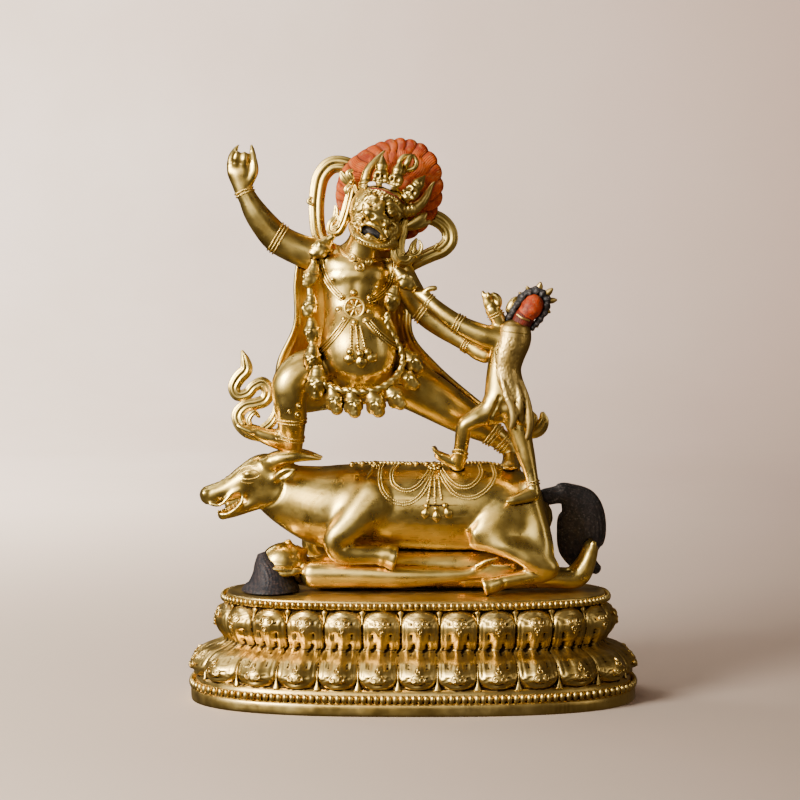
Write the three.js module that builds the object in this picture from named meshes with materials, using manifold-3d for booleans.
// A gilt bronze group: a buffalo-headed guardian and his consort stand on a lying buffalo, which
// lies on a supine man, all on an oval lotus base. Millimetres, +Z up, the viewer looks along +Y,
// and the origin is the middle of the base's underside.
import * as THREE from 'three';
import { mergeVertices } from 'three/addons/utils/BufferGeometryUtils.js';
import Module from 'manifold-3d';

const wasm = await Module();
wasm.setup();

// Heights are written from a level this far above the underside.
const DATUM = 1.5;

// Driving dimensions of the base.
const PLATE_HALF_WIDTH = 111;
const PLATE_HALF_DEPTH = 53;
const PLAN_POWER = 2.7; // 2 is an ellipse, more is boxier
const PLATE_TOP = 59;
const FOOT_FLARE = 16.5; // the foot stands out this far past the plate's edge
const UPPER_SHIFT = 1.5; // the plate and the upper petals sit this far to the right of the foot
const PETALS = 26;
const PETAL_COLUMNS = 4;
const PETAL_PHASE = 0.1; // the front middle petal sits this share of a petal to the viewer's right
const LOWER_PETALS = { tip: 13.5, waist: 32 };
const UPPER_PETALS = { tip: 53, waist: 32 };
// A petal: a swollen lobe down its middle, a groove to its neighbour, and a rounded tip.
const LOBE_HEIGHT = 3.4;
const LOBE_SHARE = 0.8; // more makes the lobe narrower
const LOBE_REACH = 1.15; // more ends the lobe further from the tip
const LOBE_FULLNESS = 0.7; // less makes the lobe blunter
const GROOVE_DEPTH = 1.6;
const GROOVE_SHARE = 0.3;
const TIP_START = 0.7;
const TIP_ROUNDING = 1.5;
const JOINT_GAP = 0.3; // between castings that rest on each other

const GILT = { color: 0xc49a45, roughness: 0.32, metalness: 1 };

// A geometry whose every vertex is moved by place(vertex).
function bend(geometry, place) {
  const position = geometry.getAttribute('position');
  const vertex = new THREE.Vector3();
  for (let i = 0; i < position.count; i++) {
    vertex.fromBufferAttribute(position, i);
    const moved = place(vertex);
    position.setXYZ(i, moved.x, moved.y, moved.z);
  }
  return geometry;
}

// A closed geometry as a solid, turned right side out.
function solid(geometry) {
  geometry.deleteAttribute('normal');
  geometry.deleteAttribute('uv');
  const merged = mergeVertices(geometry, 1e-3);
  const triangles = new Uint32Array(merged.index.array);
  const make = () => new wasm.Manifold(new wasm.Mesh({
    numProp: 3, vertProperties: merged.attributes.position.array, triVerts: triangles,
  }));
  const made = make();
  if (made.volume() > 0) return made;
  for (let i = 0; i < triangles.length; i += 3) {
    [triangles[i + 1], triangles[i + 2]] = [triangles[i + 2], triangles[i + 1]];
  }
  return make();
}

// All solids joined into one.
const fuse = (solids) => solids.reduce((sum, next) => sum.add(next));

const CAP_SCALE = 0.68;
const CAP_RISE = 0.55;
const CAP_TIP = 0.8;

// A tapering rod with round ends through stations [x, y, z, half width in the front view, half depth].
// 'across' is the direction that counts as depth.
function limb(stations, { sides = 6, steps = 1, across = [0, 1, 0] } = {}) {
  const path = new THREE.CatmullRomCurve3(stations.map((s) => new THREE.Vector3(s[0], s[1], s[2])));
  const girth = new THREE.CatmullRomCurve3(stations.map((s) => new THREE.Vector3(s[3], s[4], 0)));
  const body = (stations.length - 1) * steps;
  const rows = body + 2;
  const depthAxis = new THREE.Vector3(...across);
  return solid(bend(new THREE.CylinderGeometry(1, 1, 1, sides, rows), (v) => {
    const row = Math.round((0.5 - v.y) * rows);
    const t = THREE.MathUtils.clamp((row - 1) / body, 0, 1);
    const tangent = path.getTangent(t);
    const wide = tangent.clone().cross(depthAxis).normalize();
    const deep = wide.clone().cross(tangent).normalize();
    const size = girth.getPoint(t);
    const least = Math.min(size.x, size.y);
    const capped = row === 0 || row === rows;
    const centre = Math.hypot(v.x, v.z) < 0.5;
    const end = row === 0 ? -1 : 1;
    const rise = capped ? end * least * (centre ? CAP_TIP : CAP_RISE) : 0;
    const scale = capped ? CAP_SCALE : 1;
    return path.getPoint(t)
      .addScaledVector(tangent, rise)
      .addScaledVector(wide, v.x * size.x * scale)
      .addScaledVector(deep, v.z * size.y * scale);
  }));
}

// An ellipsoid at a place, with half sizes along X, Y and Z, leaning to the viewer's right by 'lean'
// degrees and bowing by 'nod' degrees.
function ball([x, y, z], [a, b, c], { lean = 0, nod = 0, sides = 8, rings = 6 } = {}) {
  const geometry = new THREE.SphereGeometry(1, sides, rings).rotateX(Math.PI / 2).scale(a, b, c);
  geometry.rotateX(THREE.MathUtils.degToRad(nod)).rotateY(THREE.MathUtils.degToRad(lean));
  return solid(geometry.translate(x, y, z));
}

// A sheet of some thickness whose middle surface is place(u, v), with u and v from 0 to 1.
function sheet(place, thickness, columns, rows) {
  return solid(bend(new THREE.BoxGeometry(1, thickness, 1, columns, 1, rows), (p) => {
    const at = place(p.x + 0.5, 0.5 - p.z);
    return at.add(new THREE.Vector3(0, p.y, 0));
  }));
}

// The mirror image of stations across the plane y = middle, moved back by 'shift'.
const mirrored = (stations, middle, shift = 0) =>
  stations.map(([x, y, z, wide, deep]) => [x, 2 * middle - y + shift, z, wide, deep]);

// The base's plan: a point on the plate's edge at a share of its perimeter, and the outward normal there.
const planOutline = (() => {
  const fine = 1440;
  const corner = (k) => {
    const angle = (2 * Math.PI * k) / fine;
    const power = 2 / PLAN_POWER;
    const c = Math.cos(angle);
    const s = Math.sin(angle);
    return new THREE.Vector2(
      PLATE_HALF_WIDTH * Math.sign(c) * Math.abs(c) ** power,
      PLATE_HALF_DEPTH * Math.sign(s) * Math.abs(s) ** power,
    );
  };
  const points = Array.from({ length: fine + 1 }, (_, k) => corner(k));
  const lengths = [0];
  for (let k = 1; k <= fine; k++) lengths.push(lengths[k - 1] + points[k].distanceTo(points[k - 1]));
  const at = (share) => {
    const wanted = (((share % 1) + 1) % 1) * lengths[fine];
    const k = Math.max(1, lengths.findIndex((length) => length >= wanted));
    const part = (wanted - lengths[k - 1]) / (lengths[k] - lengths[k - 1]);
    return points[k - 1].clone().lerp(points[k], part);
  };
  return (share) => {
    const along = at(share + 0.002).sub(at(share - 0.002)).normalize();
    return { point: at(share), normal: new THREE.Vector2(along.y, -along.x) };
  };
})();

// The base's side from its underside to the plate's edge: height, and how far it stands out past that edge.
const BASE_PROFILE = [
  [-DATUM, FOOT_FLARE], [5.4, FOOT_FLARE], [7.4, FOOT_FLARE + 2], [10.5, 14.5], [19, 14.5], [26, 9.5],
  [32, -3], [39, 0], [47, 0.6], [55, -1], [57, 1.8], [PLATE_TOP, 0],
];

// How far a lotus petal stands out: 'side' runs from -1 to 1 across it, and 'up' from 0 at the waist
// to 1 at its tip.
function petal(side, up) {
  const towardsTip = Math.max(0, (up - TIP_START) / (1 - TIP_START));
  const rounded = 1 - towardsTip ** 2 * Math.abs(side) * TIP_ROUNDING;
  const groove = Math.max(0, 1 - (1 - Math.abs(side)) / GROOVE_SHARE);
  const across = Math.max(0, Math.cos(side * Math.PI * LOBE_SHARE));
  const along = Math.sin(Math.PI * Math.min(1, up * LOBE_REACH)) ** LOBE_FULLNESS;
  return LOBE_HEIGHT * across * along - GROOVE_DEPTH * groove * rounded;
}

function lotusBase() {
  const columns = PETALS * PETAL_COLUMNS;
  const rows = BASE_PROFILE.length - 1;
  const petalRise = (share, z) => {
    const side = (((share * PETALS + 0.5) % 1) - 0.5) * 2;
    const row = z < LOWER_PETALS.waist ? LOWER_PETALS : UPPER_PETALS;
    const up = (z - row.waist) / (row.tip - row.waist);
    return up > 0 && up < 1 ? petal(side, up) : 0;
  };
  return solid(bend(new THREE.CylinderGeometry(1, 1, 1, columns, rows), (v) => {
    const row = Math.round((v.y + 0.5) * rows);
    const [z, out] = BASE_PROFILE[row];
    if (Math.hypot(v.x, v.z) < 0.5) return new THREE.Vector3(0, 0, z);
    const share = Math.round((Math.atan2(v.x, v.z) / (2 * Math.PI)) * columns + columns) / columns;
    const { point, normal } = planOutline(share - 0.25 + PETAL_PHASE / PETALS);
    const reach = out + petalRise(share, z);
    const shift = z > LOWER_PETALS.waist ? UPPER_SHIFT : 0;
    return new THREE.Vector3(point.x + normal.x * reach + shift, point.y + normal.y * reach, z);
  }));
}

// The supine man under the buffalo, his head to the left and his toes up.
function trampledMan() {
  const middle = 4;
  const leg = [
    [30, -3, 68, 7.5, 6.5], [84, -4, 65.5, 5.5, 5.5], [96, -3, 65, 6, 4.8], [103.8, -3, 85, 3.6, 4],
  ];
  const body = [
    [-66, 1, 69.5, 7.6, 8], [-53, 3, 69, 9.5, 13], [-30, 4, 70.5, 11, 14], [5, 4, 71, 12.5, 13],
    [40, 4, 71, 12, 12], [62, 4, 68, 8, 9],
  ];
  const hair = [[-80, -2, 72, 8, 10.6], [-82.4, -3, 62, 17, 21.4]];
  const nearArm = [
    [-58, -9, 69, 8, 7], [-35, -11, 69, 7.5, 6.5], [-5, -12, 68, 6.5, 5.8], [30, -12.5, 69.5, 3.6, 3.4],
    [41, -13, 71, 4, 3], [60, -13, 69, 1.4, 1.4],
  ];
  const parts = [
    limb(body, { sides: 7 }),
    ball([-75.6, -2, 75.6], [12.6, 11, 11], { lean: -12 }),
    limb(hair, { sides: 8 }),
    limb([[-71.5, -6, 79, 3, 4], [-71.5, -2, 84.5, 1.6, 1.4]], { sides: 4 }),
    limb([[-83, -13, 70.5, 2, 1.5], [-75, -13.5, 70, 3, 2], [-66, -12, 71.5, 1.8, 1.5]], { sides: 4 }),
    limb(nearArm),
    limb([[33, -14, 70.5, 2, 2], [44, -14, 77, 1.5, 1.5]], { sides: 4 }),
    limb(leg),
    limb(mirrored(leg, middle)),
    limb([[-54, 17, 69, 8.5, 7], [-10, 20, 68, 6.5, 5.8], [55, 19, 68, 2, 2]], { sides: 5 }),
  ];
  return fuse(parts);
}

function buffalo() {
  const middle = 4;
  const body = [
    [-88, 0, 122, 12, 11], [-71, 3, 113.5, 18.5, 18], [-49, 4, 107, 24, 24], [-20, 4, 107.5, 24.6, 27],
    [15, 4, 106.5, 25, 28], [45, 4, 106.5, 25, 27], [66, 4, 102, 20, 21], [73, 4, 100, 6, 8],
  ];
  const face = [
    [-76, -1, 126.5, 11, 11.5], [-86, -2, 126, 12, 11.5], [-97, -3, 121.5, 9.5, 9],
    [-108, -4, 117, 6.5, 7], [-119, -4, 113.5, 5.2, 6.2],
  ];
  const jaw = [[-80, -2, 114, 9, 9], [-94, -3, 108, 6, 6.4], [-109.4, -4, 103, 3.2, 4.6]];
  const horn = [
    [-86, -6, 131, 4.6, 4.6], [-77, -12, 135, 4.4, 4.4], [-66, -13, 137.5, 3.2, 3.2],
    [-53, -9, 135.4, 1, 1],
  ];
  const ear = [[-78, -12, 124.5, 2.6, 2], [-73, -16, 127, 3.6, 2.2], [-66.6, -18, 130, 1, 1]];
  const foreleg = [
    [-20, -15, 112, 14, 9], [-35, -20, 99, 9.5, 8], [-45, -20, 88, 7, 6.8], [-41, -19, 82, 6.4, 6],
    [-20, -18, 81, 5.6, 5.4], [-13, -18, 81, 6.4, 5.8],
  ];
  const farForeleg = [
    [-30, 24, 108, 13, 9], [-48, 31, 95, 9, 8], [-59, 33, 82, 7, 6.5], [-44, 35, 72, 5, 5],
    [-18, 36, 63.5, 6, 5.5],
  ];
  const thigh = [
    [62, -3, 111, 13, 14], [57, -12, 104, 16, 12], [44, -21, 94, 10.5, 8], [42, -23, 89, 7.5, 6],
  ];
  const haunch = [[67, -6, 119, 6.5, 12], [70.5, -12, 102, 7, 11], [75, -18, 84, 6.6, 8]];
  const hind = [
    [44, -23, 88.5, 8, 6.5], [60, -24, 84, 8.5, 7], [76, -22, 77, 7.4, 6.5], [73, -21.5, 72.5, 6, 5.5],
    [51, -24, 67, 4.4, 4.4], [44, -24, 63.5, 5.6, 5],
  ];
  return fuse([
    limb(body, { sides: 9 }),
    limb(face, { sides: 8 }),
    limb(jaw),
    limb(horn, { sides: 4 }),
    limb(mirrored(horn, -1), { sides: 4 }),
    limb(ear, { sides: 4 }),
    limb(mirrored(ear, -1), { sides: 4 }),
    limb(foreleg),
    limb(farForeleg),
    limb(haunch),
    limb(thigh),
    limb(hind),
    limb(mirrored(haunch, middle)),
    limb(mirrored(thigh, middle)),
    limb(mirrored(hind, middle, 2)),
  ]);
}

// The buffalo's bushy tail, cast apart and let into the rump.
function buffaloTail() {
  return limb([
    [79, 7, 112.2, 5.6, 4.6], [88.6, 8, 113.7, 6.4, 4.8], [96.6, 12, 106.2, 12, 6],
    [98.6, 18, 92.2, 14.2, 6.2], [98.1, 22.5, 80.2, 12, 5.4], [101.6, 23.5, 72.2, 7.5, 4.5],
    [108.1, 23.5, 68.2, 3.4, 3],
  ]);
}

// The flaming hair: a lobed fan behind the head, nearly flat in front and domed behind.
function hairFan([x, y, z], radius, lobes) {
  const spokes = lobes * 2;
  const rings = [[0.9, -3], [1, 1], [0.72, 8.5]]; // share of the radius, and depth behind the fan's middle
  const [front, back] = [-5, 12];
  const [tip, notch] = [1.03, 0.94];
  return solid(bend(new THREE.CylinderGeometry(1, 1, 1, spokes, rings.length - 1), (v) => {
    const angle = Math.atan2(v.z, v.x);
    if (Math.hypot(v.x, v.z) < 0.5) return new THREE.Vector3(x, y + (v.y < 0 ? front : back), z);
    const [share, behind] = rings[Math.round((v.y + 0.5) * (rings.length - 1))];
    const spoke = Math.round((angle / (2 * Math.PI)) * spokes);
    const reach = radius * share * (spoke % 2 ? notch : tip);
    return new THREE.Vector3(x + Math.cos(angle) * reach, y + behind, z + Math.sin(angle) * reach);
  }));
}

// The guardian's buffalo head: snout, open jaw, brow, crown of skulls, horns, ear and flaming hair.
function yamaHead() {
  const lean = 26;
  const horn = [
    [-26.5, -8, 287, 4, 4], [-27.4, -8, 296, 3.2, 3.2], [-22.6, -8, 304, 2.4, 2.4],
    [-16.6, -7, 310.6, 0.8, 0.8],
  ];
  const otherHorn = [
    [-5, -9, 277.5, 3.8, 3.8], [3.7, -9, 279, 3.2, 3.2], [8.6, -8, 286, 2.3, 2.3],
    [12, -7, 293, 0.8, 0.8],
  ];
  const skulls = [[-19, -16, 295.6], [-10.6, -16.5, 293.4], [-2.4, -12.5, 287.4]];
  const crownSkull = ([x, y, z]) => {
    const jewel = [x + 3.4, y + 1.6, z + 9, 0.8, 0.8];
    return limb([[x - 3, y + 3, z - 7, 3.4, 3.4], [x, y, z, 4.2, 4], jewel], { sides: 4 });
  };
  const finial = [[-11, -14, 295, 2.4, 2.4], [-3.5, -10, 304, 3.8, 3.2], [-0.6, -9, 308.4, 1.8, 1.6]];
  return fuse([
    ball([-21, -9, 277], [15.5, 14, 17.5], { lean, sides: 9, rings: 7 }),
    ball([-24, -19, 270.5], [9.5, 9.5, 6.5], { lean, sides: 7, rings: 4 }),
    ball([-27.5, -16, 261.5], [9, 9, 4.2], { lean, nod: -14, sides: 7, rings: 4 }),
    hairFan([-12, 6, 288.5], 30.9, 11),
    limb(horn, { sides: 4 }),
    limb(otherHorn, { sides: 4 }),
    ...skulls.map(crownSkull),
    limb(finial, { sides: 5 }),
    limb([[-8, -4, 268, 2, 2], [3, -3, 272.5, 3.4, 2.2], [9, -2, 276, 1.4, 1.2]], { sides: 4 }),
  ]);
}

// The streamers behind the ears, the celestial scarf's two loops, and its ends by the feet.
function yamaRibbons() {
  const streamer = [
    [-33, -2, 297, 3.4, 2.2], [-35, -4, 283, 2.8, 2], [-38, -5, 270, 2.8, 2], [-44, -4, 263.5, 3, 2],
    [-47.5, -3, 269, 3, 2], [-45, -2, 277, 2, 1.5],
  ];
  const otherStreamer = [
    [-8, -5, 271, 2.8, 2], [-5, -5, 259, 3, 2], [-2, -4, 251, 3, 2], [3, -3, 252, 3, 2],
    [3.5, -2, 259, 2, 1.5],
  ];
  const loop = [
    [-52.5, 8, 258, 4.2, 2.2], [-55.6, 8, 278, 4.5, 2.2], [-54, 9, 296, 5, 2.2],
    [-47.5, 9, 304.6, 5.4, 2.2], [-36, 8, 304.4, 5.2, 2.2],
  ];
  const otherLoop = [
    [7, 8, 275.5, 4.4, 2.2], [16.5, 9, 271.6, 4.4, 2.2], [21.8, 9, 262, 4.3, 2.2], [16.6, 8, 255, 4.3, 2.2],
    [6, 7, 250.5, 4.2, 2.2], [-8, 6, 243, 3.8, 2.2],
  ];
  const flame = [
    [-88, -1, 149, 3, 2.6], [-98.5, 0, 157.5, 3.2, 2.6], [-99, 1, 166, 3.2, 2.6],
    [-90, 2, 169, 3.2, 2.6], [-84.5, 2, 175.5, 3.2, 2.6], [-90.5, 2, 181.5, 3.2, 2.6],
    [-97.5, 1, 176, 3, 2.6], [-103, 1, 178, 3, 2.6], [-100, 1, 185.5, 3.4, 2.6],
    [-95.5, 1, 191, 3, 2.4], [-98.4, 1, 198, 0.9, 0.9],
  ];
  const calfEnd = [
    [53, 9, 160, 3.4, 3], [66, 8, 149.6, 4, 2.6], [73.6, 7, 153, 4.2, 2.6], [75.6, 6, 159.6, 2.2, 1.6],
  ];
  const ribbons = [streamer, otherStreamer, loop, otherLoop, flame, calfEnd];
  return fuse(ribbons.map((stations) => limb(stations, { sides: 4 })));
}

function yamaArms() {
  // The raised right arm, swelling at its armlet and bracelet, with first and little fingers out.
  const arm = [
    [-52, 3, 250, 9, 8.5], [-66, 2, 256, 9.2, 8.5], [-75, 1.2, 260, 8.8, 8.2], [-77, 1, 261, 10, 9.2],
    [-80, 0, 263.7, 9.8, 9.2], [-84.6, -1, 268.7, 8, 7.6], [-91, -3, 277.6, 7, 6.8],
    [-94.6, -4, 284, 5.6, 5.4], [-95.6, -4.2, 286, 6.6, 6.2], [-96.6, -4.4, 288.6, 6, 5.8],
    [-97.5, -5, 293, 6, 4.8], [-98, -5, 300, 8.4, 5.2], [-98, -5, 304, 7.6, 4.6],
  ];
  const fingers = [
    [[-103.5, -6, 303.5, 2.6, 2.6], [-103, -6, 309.5, 2, 2], [-99.5, -6, 313.6, 0.9, 0.9]],
    [[-91.5, -5, 301, 3, 2.8], [-90.5, -5, 308, 2.1, 2.1], [-92, -5, 314, 0.9, 0.9]],
    [[-98, -8.5, 303, 4.6, 2.6], [-98, -8.5, 308, 4.2, 2.4]],
  ];
  // The left arm, stretched out behind the consort.
  const otherArm = [
    [-9, 3, 243, 9, 9], [-1, 4, 230, 7.6, 7.5], [7, 4, 218.6, 7.8, 7.4], [12, 3.4, 214.6, 6.8, 6],
    [26, 0, 204.6, 5.4, 4.8], [30, -1.3, 201.8, 6, 5.2], [34, -3, 199, 4.8, 4.2], [42, -6, 195, 5, 4],
  ];
  return fuse([limb(arm), limb(otherArm), ...fingers.map((f) => limb(f, { sides: 4 }))]);
}

function yamaLegs() {
  // The bent right leg stands on the buffalo's head, the stretched left one on its back.
  const leg = [
    [-38, 2, 188, 13, 12], [-57, -4, 185.5, 12, 11], [-69.5, -8, 178.5, 12, 10], [-69.6, -6, 166, 9.8, 9],
    [-69.4, -3, 157, 7.8, 7.4], [-69.4, -1, 154, 8.4, 8], [-69.6, 0, 150, 7.6, 7.4],
    [-69.4, 1, 141, 6.2, 6.4],
  ];
  const foot = [
    [-69.6, 2, 143, 5.4, 6], [-78, 0, 145, 6.2, 6.6], [-88, -2, 148.5, 4.6, 6.2],
    [-97, -3, 152.5, 2.4, 5],
  ];
  const otherLeg = [
    [-20, 3, 186, 15, 13], [2, 4, 174.6, 14, 12], [26, 5, 161, 10.6, 9.4], [38, 6, 153.8, 9.2, 8.4],
    [45, 6.6, 149.8, 7, 7], [48, 7, 147.8, 8, 7.8], [51, 7, 145.2, 6.4, 6.2], [54, 7.5, 142.4, 6.6, 6.2],
    [57, 8, 138.5, 4.8, 4.8], [56.5, 8.5, 130.5, 5.6, 6.5],
  ];
  const otherFoot = [[56.5, 6, 132, 4.6, 4.4], [55.4, -7, 131, 4, 3]];
  return fuse([limb(leg), limb(foot, { sides: 5 }), limb(otherLeg), limb(otherFoot, { sides: 4 })]);
}

// The hide cloak: u runs from his right side to his left, v from the shoulders to the hem.
function cloakPoint(u, v) {
  const edge = (points) => new THREE.CatmullRomCurve3(points.map((p) => new THREE.Vector3(...p)));
  const rightEdge = edge([[-66, 3, 257], [-68.8, 3, 236], [-69.2, 4, 212], [-79, 6, 189], [-80, 8, 158]]);
  const rightBack = edge([[-48, 14, 258], [-50, 15, 235], [-49, 16, 208], [-52, 15, 188], [-66, 12, 160]]);
  const leftBack = edge([[-16, 13, 256], [-14, 15, 235], [-12, 15, 208], [-8, 14, 190], [14, 12, 168]]);
  const leftEdge = edge([[-3, 5, 250], [-3.5, 6, 228], [3, 7, 200], [20, 8, 185], [52, 8, 157]]);
  const across = [rightEdge, rightBack, leftBack, leftEdge].map((line) => line.getPoint(v));
  return new THREE.CatmullRomCurve3(across).getPoint(u);
}

// The garland: a cord that swells into a severed head at each of these places.
function garland() {
  const heads = [
    [-55, -4, 255], [-60, -7, 240], [-58.5, -8, 224], [-58, -9, 208], [-57.5, -12, 191], [-54, -17, 177],
    [-45, -20, 170], [-34, -23, 167], [-21.5, -22, 168], [-10, -17, 173], [-2, -10, 183], [-6, -10, 200],
    [-12, -11, 216], [-10, -9, 233],
  ];
  const path = new THREE.CatmullRomCurve3(heads.map((at) => new THREE.Vector3(...at)));
  const steps = (heads.length - 1) * 2;
  return limb(Array.from({ length: steps + 1 }, (_, i) => {
    const { x, y, z } = path.getPoint(i / steps);
    return i % 2 ? [x, y + 1.5, z, 2, 2] : [x, y, z, 5, 5];
  }), { sides: 4 });
}

function yama() {
  const torso = [
    [-26, -3, 264, 9, 9], [-29.5, 2, 255, 12, 9], [-32, 2, 247, 21.5, 13], [-33, 1, 233, 19.5, 14],
    [-34, 0, 221, 17.5, 14.5], [-32, -3, 210, 20.5, 18], [-30.5, -5, 199, 22.5, 20.5],
    [-30, -4, 187, 20, 18], [-30, 0, 180, 13, 12],
  ];
  return fuse([
    limb(torso, { sides: 8 }),
    yamaHead(),
    yamaRibbons(),
    yamaArms(),
    yamaLegs(),
    sheet(cloakPoint, 3, 5, 4),
    garland(),
    ball([-34, -14, 225], [6.2, 4, 6.2], { rings: 4 }),
  ]);
}

// The consort, seen from behind, with a hide on her back, a crown of skulls and her hair standing up.
function chamunda() {
  const hide = [
    [58, -16, 210, 9, 7], [56, -16, 204, 11.8, 8], [52.8, -16, 195, 10, 7.6], [51.3, -16, 187, 9.5, 7.2],
    [51.6, -15, 177, 11.4, 8.6], [52.6, -15, 167, 13, 9],
  ];
  const hair = [[59, -15, 210, 6, 6], [65.4, -14, 220, 6.6, 6.4], [70.5, -13, 226.5, 6, 6]];
  const crown = { x: 71, y: -13, z: 227.5, radius: 4.6, skull: 3.2, first: -25, step: 62, skulls: 3 };
  const crownSpikes = Array.from({ length: crown.skulls }, (_, i) => {
    const angle = THREE.MathUtils.degToRad(crown.first + i * crown.step);
    const at = (reach) => [crown.x + Math.cos(angle) * reach, crown.y, crown.z + Math.sin(angle) * reach];
    const tip = [...at(crown.radius + crown.skull), 0.8, 0.8];
    return limb([[...at(crown.radius), 2.4, 2.6], tip], { sides: 4 });
  });
  const raisedArm = [
    [50, -13, 209, 4.6, 4.6], [46, -14, 217, 3.4, 3.4], [44, -15, 224, 3.4, 3.2],
    [39.5, -15, 230, 1.2, 1.2],
  ];
  const reachingArm = [
    [50, -15, 205.5, 7, 6], [35, -15, 208, 5.8, 5.6], [25, -14, 213, 5, 5], [22, -13.8, 215, 6, 5.8],
    [18, -13, 218, 4.6, 4.6], [9.5, -11, 225.3, 3.5, 3.5], [8, -10.4, 226.4, 4.4, 4.2],
    [2.8, -7.5, 229, 4.4, 3.4],
  ];
  const bentLeg = [
    [48, -14, 168, 9.5, 8.5], [37, -17, 162.5, 8.2, 7.6], [29, -19, 157, 7, 6.8],
    [27.6, -17, 149, 6, 6], [27, -13, 140, 4.6, 4.6], [26.5, -11, 137, 5.6, 5.4],
    [25.5, -8, 131.5, 4.6, 4.4], [13, -10, 138, 2.2, 3.4],
  ];
  const otherLeg = [
    [56, -14, 168, 9.5, 9], [60, -15, 156, 8, 7.5], [63.4, -17, 145, 6.4, 6.4],
    [66, -19, 132, 4.8, 4.8], [67.6, -19.8, 123.6, 4.4, 4.4], [68, -20, 121.4, 5.2, 5],
    [68.5, -19.5, 116.4, 4.4, 4.6], [55.5, -24, 113, 1.9, 3],
  ];
  return fuse([
    limb(hide, { sides: 7 }),
    limb(hair),
    ...crownSpikes,
    limb([[53, -15, 213, 2.6, 2.6], [56, -17, 222, 3, 3], [63, -16, 230, 2.6, 2.6]], { sides: 4 }),
    limb(raisedArm, { sides: 5 }),
    limb([[45, -15, 223, 2.6, 2.6], [48, -15, 230, 2.2, 2.2]], { sides: 4 }),
    limb(reachingArm, { sides: 5 }),
    limb([[5, -10, 229, 1.8, 1.8], [12, -12, 232.5, 1.5, 1.5]], { sides: 4 }),
    limb(bentLeg, { sides: 5 }),
    limb(otherLeg, { sides: 5 }),
    limb([[60, -21, 167, 4, 3], [64, -23, 156, 3.4, 2.4], [65, -23, 148, 1.4, 1.2]], { sides: 4 }),
  ]);
}

// A named mesh of a solid.
function mesh(name, body) {
  const { vertProperties, triVerts, numProp } = body.getMesh();
  const corners = new Float32Array((vertProperties.length / numProp) * 3);
  for (let i = 0; i < corners.length / 3; i++) {
    corners.set(vertProperties.subarray(i * numProp, i * numProp + 3), i * 3);
  }
  const geometry = new THREE.BufferGeometry();
  geometry.setAttribute('position', new THREE.BufferAttribute(corners, 3));
  geometry.setIndex(new THREE.BufferAttribute(triVerts, 1));
  geometry.computeVertexNormals();
  const made = new THREE.Mesh(geometry, new THREE.MeshStandardMaterial(GILT));
  made.name = name;
  return made;
}

// A solid with a neighbour's shape taken out of it, leaving the joint's gap on the sides where they meet.
function fitted(body, neighbour, ...sides) {
  const places = [[0, 0, 0], ...sides];
  const moved = places.map((side) => neighbour.translate(side.map((part) => part * JOINT_GAP)));
  return moved.reduce((left, taken) => left.subtract(taken), body);
}

const ABOVE = [0, 0, 1];
const BEYOND = [1, 0, 0];
const IN_FRONT = [0, -1, 0];

const base = lotusBase();
const man = fitted(trampledMan(), base, ABOVE);
const beast = fitted(fitted(buffalo(), man, ABOVE), base, ABOVE);
const tail = fitted(buffaloTail(), beast, BEYOND);
const guardian = fitted(yama(), beast, ABOVE);
const consort = fitted(fitted(chamunda(), beast, ABOVE, IN_FRONT), guardian, BEYOND, IN_FRONT);

const group = new THREE.Group();
group.add(
  mesh('lotus_base', base),
  mesh('trampled_man', man),
  mesh('buffalo', beast),
  mesh('buffalo_tail', tail),
  mesh('yama', guardian),
  mesh('chamunda', consort),
);
group.position.z = DATUM;

export default group;
